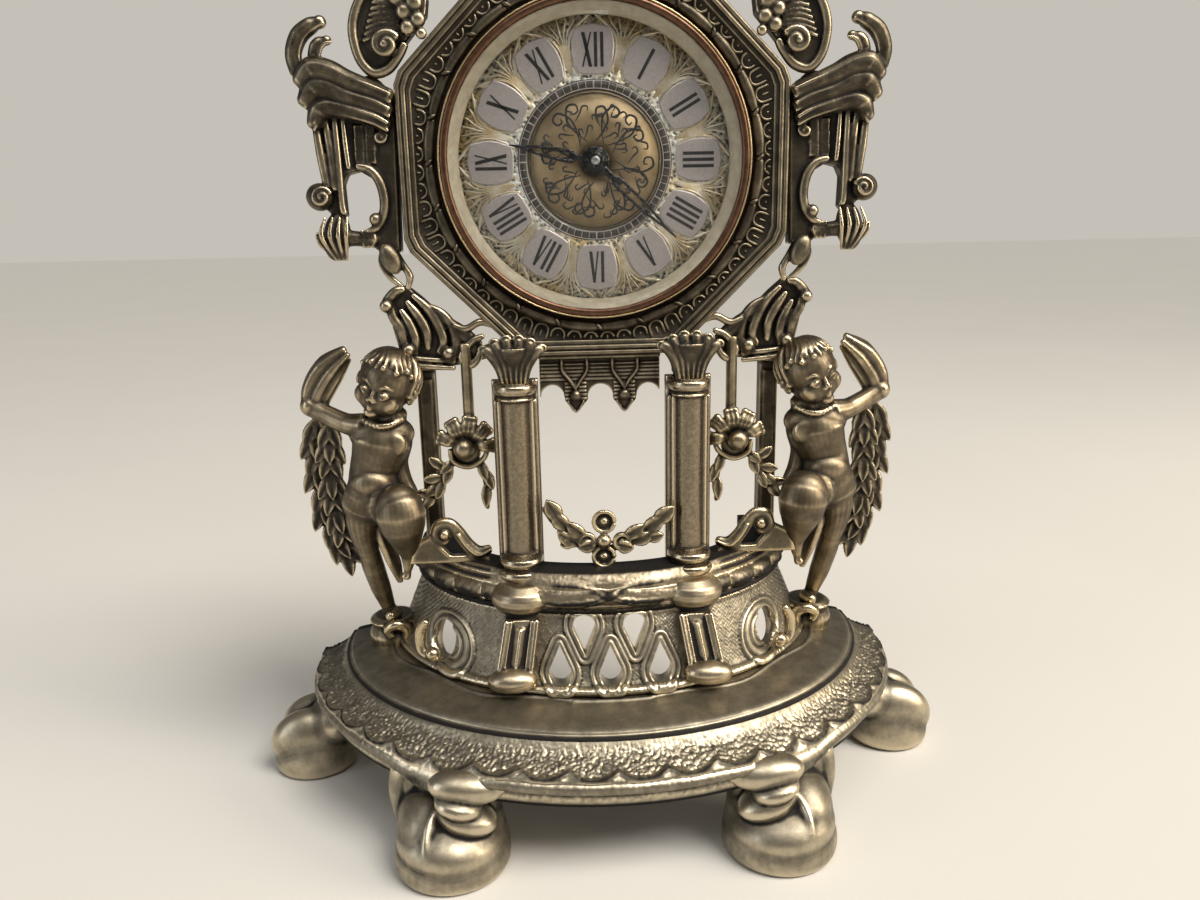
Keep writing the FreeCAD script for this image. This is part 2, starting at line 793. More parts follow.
def make_pedestal(plinth, wall):
    # The cushion under a column, with its panel and bun on the wall below
    cushion = limb([(Vector(column_x, cushion_y, wall_top_z + cushion_height * up), cushion_half_width * size,
                     cushion_half_width * size) for up, size in cushion_shares], small_sides)
    slope = (wall_top_front_y - wall_base_front_y) / (wall_top_z - plinth_top_z)
    low = plinth_top_z + wall_border
    foot_y = wall_base_front_y + plinth_widest_y * 0.08
    top_y = foot_y + slope * (wall_top_z - low)
    spread = wall_base_half_width / wall_top_half_width
    corners = []
    for z, y, wide in ((low, foot_y, spread), (wall_top_z, top_y, 1.0)):
        x = column_x * (1 + (wide - 1) * 1.15)
        corners.append(Part.makePolygon([
            Vector(x - panel_half_width, y - panel_projection, z), Vector(x + panel_half_width, y - panel_projection, z),
            Vector(x + panel_half_width, y + wall_thickness * 2, z), Vector(x - panel_half_width, y + wall_thickness * 2, z),
            Vector(x - panel_half_width, y - panel_projection, z)]))
    slab = Part.makeLoft(corners, True, True)
    bun_x = column_x * (1 + (spread - 1) * 1.1)
    bun = limb([(Vector(bun_x, foot_y, low + bun_height * up), bun_half_width * size, bun_half_width * size * 0.7)
                for up, size in bun_shares], figure_sides)
    return trimmed(cushion.fuse(slab).fuse(bun), plinth, wall)


def make_column(pedestal):
    base = wall_top_z + cushion_height
    rings = [(torus_radius * size, base + torus_height * up) for size, up in torus_shares]
    top = [(ring_radius * size, column_top_z - ring_height * down) for size, down in ring_shares]
    shaft = [(column_radius, base + torus_height * 2.1), (column_radius, column_top_z - ring_height)]
    body = turned_z([(0, base)] + rings + shaft + top + [(0, column_top_z)], column_x, column_y, 16)
    strip = Part.makeBox(2 * strip_half_width, strip_thickness, column_top_z - base,
                         Vector(column_x - strip_half_width, column_y + column_radius * 0.3, base))
    return trimmed(body.fuse(strip), pedestal)


def make_capital(column, frame):
    # A fan of palmette leaves on top of the column, with a boss behind that meets the dial frame
    outline = [(column_x - ring_radius * 0.8, column_top_z)]
    for index in range(leaf_count):
        lean = (index - (leaf_count - 1) / 2) / ((leaf_count - 1) / 2)
        middle_x = column_x + lean * capital_half_width * 0.86
        top = column_top_z + capital_height * (1 - 0.22 * lean * lean)
        half = capital_half_width * 0.2
        outline.append((middle_x - half, top - half))
        outline.append((middle_x, top))
        outline.append((middle_x + half, top - half))
    outline.append((column_x + ring_radius * 0.8, column_top_z))
    back_y = column_y + capital_thickness * 0.55
    fan = panel(outline, column_y - capital_thickness * 0.45, back_y)
    boss = Part.makeBox(2 * boss_half_width, head_front_y - back_y + overrun, capital_height * 0.7,
                        Vector(column_x - boss_half_width, back_y - overrun, column_top_z))
    return trimmed(fan.fuse(boss), column, frame)


def make_pilaster(ledge, frame):
    abacus_low = head_low_z - abacus_height
    shaft = Part.makeBox(2 * pilaster_half_width, pilaster_depth, abacus_low + overrun - ledge_top_z,
                         Vector(pilaster_x - pilaster_half_width, pilaster_y, ledge_top_z))
    steps = []
    for up, half_share in abacus_shares:
        low = abacus_low + abacus_height * up
        half = abacus_half_width * half_share
        front = pilaster_y - (pilaster_y - shell_front_y) * half_share
        steps.append(Part.makeBox(2 * half, pilaster_y + pilaster_depth - front, head_low_z - low,
                                  Vector(pilaster_x - half, front, low)))
    return trimmed(fused([shaft] + steps), ledge, frame)


# Ornaments

def make_garland(frame, pilaster, cherub, column, bracket):
    # A rosette hung on a rod, with leaves running to the cherub's hip and down beside the column
    x = rosette_x
    z = rosette_z
    y = rosette_y
    rod_top = head_low_z + rod_overlap
    rod = turned_z([(0, z), (rod_radius, z), (rod_radius, rod_top), (0, rod_top)], x, y, 6)
    petals = []
    for petal in range(5):
        turn = 90 + 72 * petal
        tip = beside((x, z), rosette_radius, turn)
        petals.append(leaf(Vector(x, y, z), Vector(tip[0], y, tip[1]), rosette_radius * 0.85, rosette_thickness))
    ball = turned_y([(0, y - rosette_thickness), (rosette_ball, y - rosette_thickness * 0.6), (rosette_ball, y), (0, y)],
                    x, z, figure_sides)
    ends = ((figure_x - figure_height * 0.10, figure_y - figure_height * 0.02,
             figure_foot_z + figure_height * 0.52), (column_x + strip_half_width + garland_leaf_width * 0.7, y,
                                                      z - figure_height * 0.26))
    stems = []
    for end_x, end_y, end_z in ends:
        start = Vector(x, y, z)
        end = Vector(end_x, end_y, end_z)
        stems.append(limb([(start, garland_stem_radius, garland_stem_radius),
                           (end, garland_stem_radius, garland_stem_radius)], stem_sides))
        run = end - start
        count = max(2, int(run.Length / (garland_leaf_length * 0.72)))
        for index in range(1, count):
            root = start + run * (index / count)
            for side in (-1, 1):
                along = run * (garland_leaf_length * 0.8 / run.Length)
                across = run.cross(Vector(0, 1, 0))
                across.normalize()
                tip = root + along + across * (side * garland_leaf_length * 0.45)
                stems.append(leaf(root, tip, garland_leaf_width, garland_leaf_thickness))
    return trimmed(fused([rod, ball] + petals + stems), frame, pilaster, cherub, column, bracket)


def make_swag(columns):
    # The leaf swag hung between the columns, with a four-petal flower at its lowest point
    pieces = []
    steps = 6
    reach = column_x - column_radius * 0.4
    path = []
    for step in range(steps + 1):
        across = 2 * step / steps - 1
        path.append(Vector(across * reach, swag_y, swag_z - swag_drop * (1 - across * across)))
    pieces.append(limb([(place, garland_stem_radius, garland_stem_radius) for place in path], stem_sides))
    for step in range(steps):
        run = path[step + 1] - path[step]
        if step >= steps / 2:
            run = run * -1
        for side in (-1, 1):
            across = run.cross(Vector(0, 1, 0))
            across.normalize()
            root = path[step]
            tip = root + run * 1.1 + across * (side * garland_leaf_width * 0.8)
            pieces.append(leaf(root, tip, garland_leaf_width, garland_leaf_thickness))
    low = swag_z - swag_drop
    outline = []
    for petal in range(4):
        for turn, reach in petal_shares:
            outline.append(beside((0, low), flower_radius * reach, 90 * petal + turn))
    pieces.append(panel(outline, swag_y - flower_thickness, swag_y + flower_thickness * 0.2))
    pieces.append(turned_y([(0, swag_y - flower_thickness * 1.5), (rosette_ball, swag_y - flower_thickness * 1.2),
                            (rosette_ball, swag_y), (0, swag_y)], 0, low, figure_sides))
    return trimmed(fused(pieces), *columns)


def figure_rings(shares):
    rings = []
    for share in shares:
        place = Vector(figure_x + share[0] * figure_height, figure_y + share[1] * figure_height,
                       figure_foot_z + share[2] * figure_height)
        wide = share[3] * figure_height
        deep = share[-1] * figure_height
        rings.append((place, wide, deep))
    return rings


def make_cherub(others):
    limbs = [limb(figure_rings(torso_shares), head_sides), limb(figure_rings(head_shares), head_sides)]
    for shares in (raised_arm_shares, forearm_shares, lowered_arm_shares, straight_leg_shares, thigh_shares,
                   calf_shares):
        limbs.append(limb(figure_rings(shares), figure_sides))
    return trimmed(fused(limbs), *others)


def make_festoon(cherub):
    # Leaves hanging in a bunch from the cherub's elbow
    rings = figure_rings(festoon_shares)
    pieces = [limb([(place, wide * 0.6, deep * 0.6) for place, wide, deep in rings], stem_sides)]
    for index in range(len(rings) - 1):
        place, wide, deep = rings[index]
        below = rings[index + 1][0]
        run = below - place
        for turn in festoon_leaf_turns:
            cosine, sine = heading(turn)
            tip = place + run * 1.15 + Vector(sine * wide * 1.5, -cosine * wide * 0.9, 0)
            pieces.append(leaf(place, tip, garland_leaf_width * 1.5, garland_leaf_thickness * 1.4))
            away = place + run * 1.15 + Vector(sine * wide * 1.5, cosine * wide * 0.9, 0)
            pieces.append(leaf(place, away, garland_leaf_width * 1.5, garland_leaf_thickness * 1.4))
    return trimmed(fused(pieces), cherub)


# Head of the clock

def make_frame():
    back_y = head_back_y
    body = octagon(head_apothem - border_step, head_front_y, back_y)
    body = body.fuse(octagon(head_apothem, head_front_y + border_step, back_y))
    body = body.cut(octagon(head_apothem - border_width, head_front_y - overrun, frame_floor_y))
    body = body.cut(turned_disc(bezel_outer_radius + fit, 0, head_z, head_front_y - overrun, back_y + overrun,
                                large_sides))
    for x, z in screw_places():
        body = body.cut(bore_y(screw_shank_radius + running, x, z, back_y - screw_length, back_y + overrun))
    return body


def screw_places():
    return [beside((0, head_z), (bezel_outer_radius + flange_radius) / 2, eighth_turn + index * full_turn / screw_count)
            for index in range(screw_count)]


def make_rope():
    middle = (rope_outer_radius + rope_inner_radius) / 2
    half = (rope_outer_radius - rope_inner_radius) / 2
    front = frame_floor_y - rope_height
    return turned_y([(middle - half, frame_floor_y), (middle - half, front + half), (middle - half * 0.4, front),
                     (middle + half * 0.4, front), (middle + half, front + half), (middle + half, frame_floor_y)],
                    0, head_z, large_sides)


def make_valance(frame, columns):
    # A band under the dial with three arches and two pendants between them
    low = head_low_z - valance_height
    arch_z = low + valance_height * 0.5
    body = panel([(-valance_half_width, head_low_z), (-valance_half_width, low), (valance_half_width, low),
                  (valance_half_width, head_low_z)], valance_front_y, valance_front_y + valance_thickness)
    pitch = 2 * arch_radius + pendant_width
    for place in (-1, 0, 1):
        arch = turned_disc(arch_radius, place * pitch, arch_z, valance_front_y - overrun,
                           valance_front_y + valance_thickness + overrun, barrel_sides)
        below = Part.makeBox(2 * arch_radius, valance_thickness + 2 * overrun, arch_z - low + overrun,
                             Vector(place * pitch - arch_radius, valance_front_y - overrun, low - overrun))
        body = body.cut(arch).cut(below)
    return trimmed(body, frame, *columns)


def make_arm(frame):
    x = head_apothem
    places = placed(arm_outline_shares, x, arm_low_z, arm_width, arm_height)
    back = arm_front_y + arm_thickness
    plate = panel(places, arm_front_y, back)
    hole_x, hole_z, hole_wide, hole_high = arm_hole_shares
    opening = []
    for step in range(12):
        cosine, sine = heading(30 * step)
        opening.append((x + (hole_x + hole_wide * cosine) * arm_width,
                        arm_low_z + (hole_z + hole_high * sine) * arm_height))
    plate = plate.cut(panel(opening, arm_front_y - overrun, back + overrun))
    pieces = [plate]
    for band in arm_band_shares:
        path = placed(band, x, arm_low_z, arm_width, arm_height)
        pieces.append(ribbon(path, [arm_band_width] * len(path), arm_front_y - arm_band_rise, arm_front_y + overrun))
    volute_x = x + volute_share[0] * arm_width
    volute_z = arm_low_z + volute_share[1] * arm_height
    pieces.append(turned_y([(0, arm_front_y - arm_band_rise), (volute_radius * 0.6, arm_front_y - arm_band_rise),
                            (volute_radius, arm_front_y - arm_band_rise * 0.2), (volute_radius, back - overrun),
                            (volute_radius * 0.6, back), (0, back)], volute_x, volute_z, small_sides))
    bud_x = x + bud_share * arm_width
    top = arm_low_z + bud_length
    pieces.append(turned_z([(0, arm_low_z), (bud_radius * 0.3, arm_low_z + bud_length * 0.1),
                            (bud_radius, arm_low_z + bud_length * 0.5), (bud_radius * 0.7, arm_low_z + bud_length * 0.8),
                            (bud_radius * 0.8, top), (0, top)], bud_x, arm_front_y + arm_thickness / 2,
                           figure_sides))
    return trimmed(fused(pieces), frame)


def make_shell(frame, arm, crest):
    places = placed(shell_outline_shares, shell_inner_x, shell_low_z, shell_width, shell_height)
    back = shell_front_y + shell_thickness
    plate = panel(places, shell_front_y, back)
    eye_x = shell_inner_x + shell_volute_share[0] * shell_width
    eye_z = shell_low_z + shell_volute_share[1] * shell_height
    eye = turned_y([(0, shell_front_y - shell_volute_radius * 0.6),
                    (shell_volute_radius * 0.6, shell_front_y - shell_volute_radius * 0.5),
                    (shell_volute_radius, shell_front_y), (shell_volute_radius, shell_front_y + overrun),
                    (0, shell_front_y + overrun)], eye_x, eye_z, small_sides)
    return trimmed(plate.fuse(eye), frame, arm, crest)


def make_bracket(frame, pilaster, arm):
    places = placed(bracket_outline_shares, bracket_inner_x, head_low_z, bracket_width, bracket_height)
    plate = panel(places, shell_front_y, shell_front_y + shell_thickness)
    return trimmed(plate, frame, pilaster, arm)


def make_crest(frame):
    right = placed(crest_outline_shares, 0, crest_low_z, crest_half_width, crest_height)
    left = [(-x, z) for x, z in right if x > 0]
    plate = panel(right + left[::-1], crest_front_y, crest_front_y + crest_thickness)
    pieces = [plate]
    for side in (-1, 1):
        eye_x = side * crest_eye_share[0] * crest_half_width
        eye_z = crest_low_z + crest_eye_share[1] * crest_height
        pieces.append(turned_y([(0, crest_front_y - crest_eye_radius), (crest_eye_radius, crest_front_y - overrun / 2),
                                (crest_eye_radius, crest_front_y + overrun), (0, crest_front_y + overrun)],
                               eye_x, eye_z, figure_sides))
    return trimmed(fused(pieces), frame)


def make_finial():
    low = crest_low_z + crest_height
    profile = [(radius * finial_radius, low + up * finial_height) for radius, up in finial_profile_shares]
    return turned_z(profile, 0, crest_front_y + crest_thickness / 2, 16)


# Bezel, glass, dial and hands

bezel_front_y = head_front_y - bezel_proud
glass_front_y = bezel_front_y + bezel_lip


def make_bezel():
    front = bezel_front_y
    return turned_y([
        (bezel_sight_radius, front + bezel_lip * 0.4), (bezel_sight_radius + bezel_lip * 0.5, front),
        (bezel_outer_radius - bezel_lip * 0.5, front), (bezel_outer_radius, front + bezel_lip * 0.6),
        (bezel_outer_radius, head_back_y), (bezel_bore_radius, head_back_y), (bezel_bore_radius, glass_front_y),
        (bezel_sight_radius, glass_front_y)], 0, head_z, large_sides)


def make_glass():
    # A shallow dome that tapers to a flat edge held behind the bezel's lip
    edge = bezel_bore_radius - fit
    rim = bezel_sight_radius - fit
    sphere = (rim * rim + glass_rise * glass_rise) / (2 * glass_rise)
    outer = []
    inner = []
    for band in range(glass_bands + 1):
        radius = rim * band / glass_bands
        sag = sphere - math.sqrt(sphere * sphere - radius * radius)
        outer.append((radius, glass_front_y - glass_rise + sag))
        inner.append((radius, glass_front_y - glass_rise + sag + glass_edge))
    profile = outer + [(edge, glass_front_y), (edge, glass_front_y + glass_edge)] + inner[::-1]
    return turned_y(profile, 0, head_z, large_sides)


def make_surround():
    edge = bezel_bore_radius - fit
    front = glass_front_y + glass_edge
    return turned_y([(edge - bezel_lip, front), (edge, front), (edge, dial_y), (surround_inner_radius, dial_y)],
                    0, head_z, large_sides)


def make_dial():
    disc = turned_disc(bezel_bore_radius - fit, 0, head_z, dial_y, dial_back_y, large_sides)
    hole = hour_pipe_radius + fit * 2
    return disc.cut(bore_y(hole, 0, head_z, dial_y - overrun, dial_back_y + overrun))


def hand_outline(length, half_width, turn):
    # A two-bar hand: its bars part beyond the collar and meet again at the tip
    sides = ((0.06, 0.3), (0.16, 0.45), (0.30, 1.0), (0.46, 0.8), (0.72, 0.35), (1.0, 0.12))
    direction = heading(turn)
    square = (-direction[1], direction[0])
    right = []
    left = []
    for along, wide in sides:
        x = direction[0] * along * length
        z = head_z + direction[1] * along * length
        right.append((x + square[0] * wide * half_width, z + square[1] * wide * half_width))
        left.append((x - square[0] * wide * half_width, z - square[1] * wide * half_width))
    return right + left[::-1]


def hand_slot(length, half_width, turn):
    sides = ((0.22, 0.0), (0.31, 0.55), (0.46, 0.40), (0.78, 0.0))
    direction = heading(turn)
    square = (-direction[1], direction[0])
    right = []
    left = []
    for along, wide in sides:
        x = direction[0] * along * length
        z = head_z + direction[1] * along * length
        right.append((x + square[0] * wide * half_width, z + square[1] * wide * half_width))
        if wide > 0:
            left.append((x - square[0] * wide * half_width, z - square[1] * wide * half_width))
    return right + left[::-1]


hour_hand_y = dial_y - hand_gap - hand_thickness
minute_hand_y = hour_hand_y - hand_gap - hand_thickness
minute_turn = 90 - minute_now * 6
hour_turn = 90 - hour_now * 30


def make_hand(length, half_width, turn, collar, bore, front_y):
    back_y = front_y + hand_thickness
    hand = panel(hand_outline(length, half_width, turn), front_y, back_y)
    hand = hand.cut(panel(hand_slot(length, half_width, turn), front_y - overrun, back_y + overrun))
    hand = hand.fuse(rod_y(collar, 0, head_z, front_y, back_y))
    return main_solid(hand.cut(bore_y(bore, 0, head_z, front_y - overrun, back_y + overrun)))


# Movement

centre_place = (0, head_z)
barrel_distance = barrel_module * (barrel_teeth + centre_pinion_teeth) / 2
barrel_place = beside(centre_place, barrel_distance, barrel_turn)
third_place = beside(centre_place, train_module * (centre_teeth + third_pinion_teeth) / 2, third_turn)
escape_place = beside(third_place, train_module * (third_teeth + escape_pinion_teeth) / 2, escape_turn)
motion_distance = motion_module * (cannon_teeth + motion_teeth) / 2
motion_place = beside(centre_place, motion_distance, motion_turn)
hour_module = 2 * motion_distance / (motion_pinion_teeth + hour_teeth)
lever_place = (lever_place_shares[0] * plate_radius, head_z + lever_place_shares[1] * plate_radius)
balance_place = (balance_place_shares[0] * plate_radius, head_z + balance_place_shares[1] * plate_radius)
hour_wheel_y = dial_back_y + hand_gap
motion_wheel_y = hour_wheel_y + wheel_thickness + hand_gap
plate_back_y = front_plate_y + plate_thickness
barrel_y = plate_back_y + hand_gap
third_wheel_y = barrel_y + barrel_depth - pinion_thickness
centre_wheel_y = barrel_y + barrel_depth + hand_gap
escape_wheel_y = barrel_y + hand_gap
ratchet_y = back_plate_y + plate_thickness + hand_gap / 2
cover_outer_y = cover_y + cover_thickness
knob_y = cover_outer_y + key_clearance
arbor_end_y = cover_outer_y + arbor_reach
key_end_y = cover_outer_y + key_length
click_place = beside(barrel_place, click_distance, click_turn)
key_bow_room = barrel_distance - knob_radius - key_knob_gap - key_pipe_radius
key_bow_radius = key_bow_room / (1 + key_bow_share)


def pivot_rod(place):
    # A thin arbor that runs from plate to plate on slim pivots
    body = rod_y(staff_radius, place[0], place[1], plate_back_y + fit, back_plate_y - fit, figure_sides)
    pivots = rod_y(pivot_radius, place[0], place[1], front_plate_y, back_plate_y + plate_thickness, figure_sides)
    return body.fuse(pivots)


def make_case():
    inner = case_radius - case_wall
    profile = [(inner, head_back_y), (flange_radius, head_back_y), (flange_radius, head_back_y + flange_thickness),
               (case_radius, head_back_y + flange_thickness), (case_radius, cover_y), (inner, cover_y)]
    case = turned_y(profile, 0, head_z, large_sides)
    for x, z in screw_places():
        case = case.cut(bore_y(screw_shank_radius + running, x, z, head_back_y - overrun,
                              head_back_y + flange_thickness + overrun))
    return case


def make_cover():
    rim = case_radius - case_wall - fit
    profile = [(0, cover_y), (case_radius, cover_y), (case_radius, cover_y + cover_thickness * 0.6),
               (case_radius * 0.94, cover_y + cover_thickness), (0, cover_y + cover_thickness)]
    cover = turned_y(profile, 0, head_z, large_sides)
    lip = turned_y([(rim - case_wall, cover_y - case_wall * 2), (rim, cover_y - case_wall * 2), (rim, cover_y),
                    (rim - case_wall, cover_y)], 0, head_z, large_sides)
    cover = cover.fuse(lip)
    for place, radius in ((centre_place, arbor_radius), (barrel_place, winding_radius)):
        cover = cover.cut(bore_y(radius + hand_gap, place[0], place[1], cover_y - overrun, cover_outer_y + overrun))
    return cover


def make_plate(front_y, radius, places, large):
    plate = turned_disc(radius, 0, head_z, front_y, front_y + plate_thickness, large_sides)
    for x, z in places:
        plate = plate.cut(bore_y(pivot_radius + running, x, z, front_y - overrun, front_y + plate_thickness + overrun))
    for (x, z), bore in large:
        plate = plate.cut(bore_y(bore + running, x, z, front_y - overrun, front_y + plate_thickness + overrun))
    return plate


def make_pillars():
    pillars = []
    for turn in pillar_turns:
        x, z = beside(centre_place, pillar_circle, turn)
        pillars.append(rod_y(pillar_radius, x, z, plate_back_y, back_plate_y))
    return Part.makeCompound(pillars)


def coil(place, inner_radius, outer_radius, turns, thickness, front_y, back_y, start_turn):
    # A flat spiral strip
    steps = turns * 10
    path = spiral(place, inner_radius, outer_radius, start_turn, start_turn + full_turn * turns, steps)
    return ribbon(path, [thickness] * len(path), front_y, back_y)


def make_barrel():
    # A drum with teeth round its front lid, open at the middle for the winding arbor
    x, z = barrel_place
    lid = gear(barrel_teeth, barrel_module, barrel_y, wheel_thickness, barrel_place, 0, 0)
    back_y = barrel_y + barrel_depth
    outer = barrel_module * (barrel_teeth / 2 - dedendum_share) - fit
    body = lid.fuse(turned_disc(outer, x, z, barrel_y, back_y, barrel_sides))
    body = body.cut(turned_disc(outer - barrel_wall, x, z, barrel_y + wheel_thickness, back_y - barrel_wall,
                                barrel_sides))
    return body.cut(bore_y(winding_radius + running, x, z, barrel_y - overrun, back_y + overrun))


def make_mainspring():
    outer = (barrel_module * (barrel_teeth / 2 - dedendum_share) - fit) * math.cos(math.pi / barrel_sides)
    outer = outer - barrel_wall - spring_thickness
    return coil(barrel_place, spring_inner_radius, outer, spring_turns, spring_thickness,
                barrel_y + wheel_thickness + hand_gap, barrel_y + barrel_depth - barrel_wall - hand_gap, 0)


def make_winding_arbor():
    # The barrel's arbor with its ratchet wheel behind the back plate and its square for the key
    x, z = barrel_place
    square = Part.makeBox(2 * winding_square, arbor_end_y - ratchet_y, 2 * winding_square,
                          Vector(x - winding_square, ratchet_y, z - winding_square))
    rod = rod_y(winding_radius, x, z, plate_back_y - plate_thickness, ratchet_y)
    pitch = full_turn / ratchet_teeth
    outline = []
    for tooth in range(ratchet_teeth):
        outline.append(beside(barrel_place, ratchet_radius, tooth * pitch))
        outline.append(beside(barrel_place, ratchet_radius * 0.88, (tooth + 0.12) * pitch))
    ratchet = panel(outline, ratchet_y, ratchet_y + wheel_thickness)
    return fused([rod, ratchet, square])


def make_click():
    # A pawl beside the ratchet wheel, on a pin set in the back plate
    x, z = click_place
    tip = beside(barrel_place, ratchet_radius + click_gap, click_turn - click_lead_turn)
    toward = math.degrees(math.atan2(tip[1] - z, tip[0] - x))
    side = beside(click_place, click_radius, toward + 90)
    other = beside(click_place, click_radius, toward - 90)
    body = panel([side, tip, other], ratchet_y, ratchet_y + wheel_thickness)
    body = body.fuse(rod_y(click_radius, x, z, ratchet_y, ratchet_y + wheel_thickness))
    return main_solid(body.fuse(rod_y(pivot_radius, x, z, back_plate_y, ratchet_y)))


def make_centre():
    # Centre wheel, its pinion and the cannon pinion on one long arbor
    x, z = centre_place
    wheel = gear(centre_teeth, train_module, centre_wheel_y, wheel_thickness, centre_place, 0, 0)
    pinion = gear(centre_pinion_teeth, barrel_module, plate_back_y + fit, pinion_thickness, centre_place,
                  meshed_turn(barrel_teeth, 0, barrel_turn + 180, centre_pinion_teeth), 0)
    cannon = gear(cannon_teeth, motion_module, motion_wheel_y, wheel_thickness, centre_place, 0, 0)
    arbor = rod_y(arbor_radius, x, z, minute_hand_y - nut_height * 0.6, knob_y + knob_length * 0.8)
    return fused([wheel, pinion, cannon, arbor])


def make_third():
    wheel = gear(third_teeth, train_module, third_wheel_y, wheel_thickness, third_place, 0, 0)
    pinion = gear(third_pinion_teeth, train_module, centre_wheel_y - (pinion_thickness - wheel_thickness) / 2,
                  pinion_thickness, third_place, meshed_turn(centre_teeth, 0, third_turn, third_pinion_teeth), 0)
    return fused([wheel, pinion, pivot_rod(third_place)])


def make_escape():
    # Escape wheel with raked pointed teeth, and its pinion
    pitch = full_turn / escape_teeth
    outline = []
    for tooth in range(escape_teeth):
        outline.append(beside(escape_place, escape_radius, tooth * pitch))
        outline.append(beside(escape_place, escape_radius * 0.72, (tooth + 0.25) * pitch))
        outline.append(beside(escape_place, escape_radius * 0.70, (tooth + 0.75) * pitch))
    wheel = panel(outline, escape_wheel_y, escape_wheel_y + wheel_thickness)
    pinion = gear(escape_pinion_teeth, train_module, third_wheel_y - (pinion_thickness - wheel_thickness) / 2,
                  pinion_thickness, escape_place, meshed_turn(third_teeth, 0, escape_turn, escape_pinion_teeth), 0)
    return fused([wheel, pinion, pivot_rod(escape_place)])


def make_lever():
    # A forked lever with two pallets that straddle the escape wheel
    away = math.degrees(math.atan2(lever_place[1] - escape_place[1], lever_place[0] - escape_place[0]))
    toward_balance = math.degrees(math.atan2(balance_place[1] - lever_place[1], balance_place[0] - lever_place[0]))
    back_y = escape_wheel_y + wheel_thickness
    pieces = [rod_y(click_radius, lever_place[0], lever_place[1], escape_wheel_y, back_y)]
    for side in (-1, 1):
        inner = beside(escape_place, escape_radius + pallet_gap, away + side * pallet_turn)
        outer = beside(inner, pallet_width, away + side * pallet_turn)
        pieces.append(ribbon([lever_place, outer, inner], [lever_width, lever_width, lever_width * 0.5],
                             escape_wheel_y, back_y))
    fork = beside(lever_place, lever_reach, toward_balance)
    pieces.append(ribbon([lever_place, fork], [lever_width, lever_width * 1.6], escape_wheel_y, back_y))
    return fused(pieces + [pivot_rod(lever_place)])


def make_balance():
    x, z = balance_place
    back_y = balance_y + wheel_thickness
    inner = balance_radius - balance_rim
    rim = turned_y([(balance_radius, balance_y), (balance_radius, back_y), (inner, back_y), (inner, balance_y)], x, z,
                   barrel_sides)
    spoke = Part.makeBox(2 * (balance_radius - balance_rim / 2), wheel_thickness, balance_rim,
                         Vector(x - balance_radius + balance_rim / 2, balance_y, z - balance_rim / 2))
    hub = rod_y(click_radius, x, z, balance_y, back_y)
    return fused([rim, spoke, hub, pivot_rod(balance_place)])


def make_hairspring():
    front_y = balance_y + wheel_thickness + hand_gap
    return coil(balance_place, staff_radius + running, hairspring_radius, hairspring_turns, hairspring_thickness,
                front_y, front_y + hairspring_depth, 0)


def make_motion():
    # Motion wheel and pinion, on a pivot in the front plate
    x, z = motion_place
    wheel = gear(motion_teeth, motion_module, motion_wheel_y, wheel_thickness, motion_place,
                 meshed_turn(cannon_teeth, 0, motion_turn, motion_teeth), 0)
    pinion = gear(motion_pinion_teeth, hour_module, hour_wheel_y - fit, motion_wheel_y - hour_wheel_y + fit,
                  motion_place, 0, 0)
    post = rod_y(pivot_radius, x, z, motion_wheel_y, plate_back_y)
    shoulder = rod_y(click_radius, x, z, motion_wheel_y, front_plate_y - fit)
    return fused([wheel, pinion, shoulder, post])


def make_hour_wheel():
    wheel = gear(hour_teeth, hour_module, hour_wheel_y, wheel_thickness, centre_place,
                 meshed_turn(motion_pinion_teeth, 0, motion_turn + 180, hour_teeth), 0)
    pipe = rod_y(hour_pipe_radius, 0, head_z, hour_hand_y, hour_wheel_y + wheel_thickness)
    return wheel.fuse(pipe).cut(bore_y(hour_pipe_radius - hour_pipe_wall, 0, head_z, hour_hand_y - overrun,
                                      hour_wheel_y + wheel_thickness + overrun))


def make_nut():
    front = minute_hand_y - nut_height
    return turned_y([(0, front), (nut_radius * 0.7, front), (nut_radius, front + nut_height * 0.3),
                     (nut_radius, minute_hand_y), (arbor_radius + fit, minute_hand_y),
                     (arbor_radius + fit, minute_hand_y - nut_height * 0.6 - fit),
                     (0, minute_hand_y - nut_height * 0.6 - fit)], 0, head_z, small_sides)


def make_key():
    # A double-looped key over the winding square
    x, z = barrel_place
    front = cover_outer_y + key_clearance
    pipe = rod_y(key_pipe_radius, x, z, front, key_end_y)
    loops = []
    for side in (-1, 1):
        centre_x = x + side * (key_pipe_radius + key_bow_radius * key_bow_share)
        loop = turned_z([(key_bow_radius - key_thickness, z - key_thickness / 2), (key_bow_radius, z - key_thickness / 2),
                         (key_bow_radius, z + key_thickness / 2), (key_bow_radius - key_thickness, z
                         + key_thickness / 2)], centre_x, key_end_y - key_bow_radius, small_sides)
        loops.append(loop)
    depth = arbor_end_y - front + fit
    hole = Part.makeBox(2 * (winding_square + fit), depth + overrun, 2 * (winding_square + fit),
                        Vector(x - winding_square - fit, front - overrun, z - winding_square - fit))
    return main_solid(fused([pipe] + loops).cut(hole))


def make_knob():
    outline = []
    for flute in range(knob_flutes):
        outline.append(beside(centre_place, knob_radius, flute * full_turn / knob_flutes))
        outline.append(beside(centre_place, knob_radius, (flute + 0.5) * full_turn / knob_flutes))
        outline.append(beside(centre_place, knob_radius * 0.9, (flute + 0.75) * full_turn / knob_flutes))
    body = panel(outline, knob_y, knob_y + knob_length)
    return body.cut(bore_y(arbor_radius + running, 0, head_z, knob_y - overrun, knob_y + knob_length * 0.8 + fit))


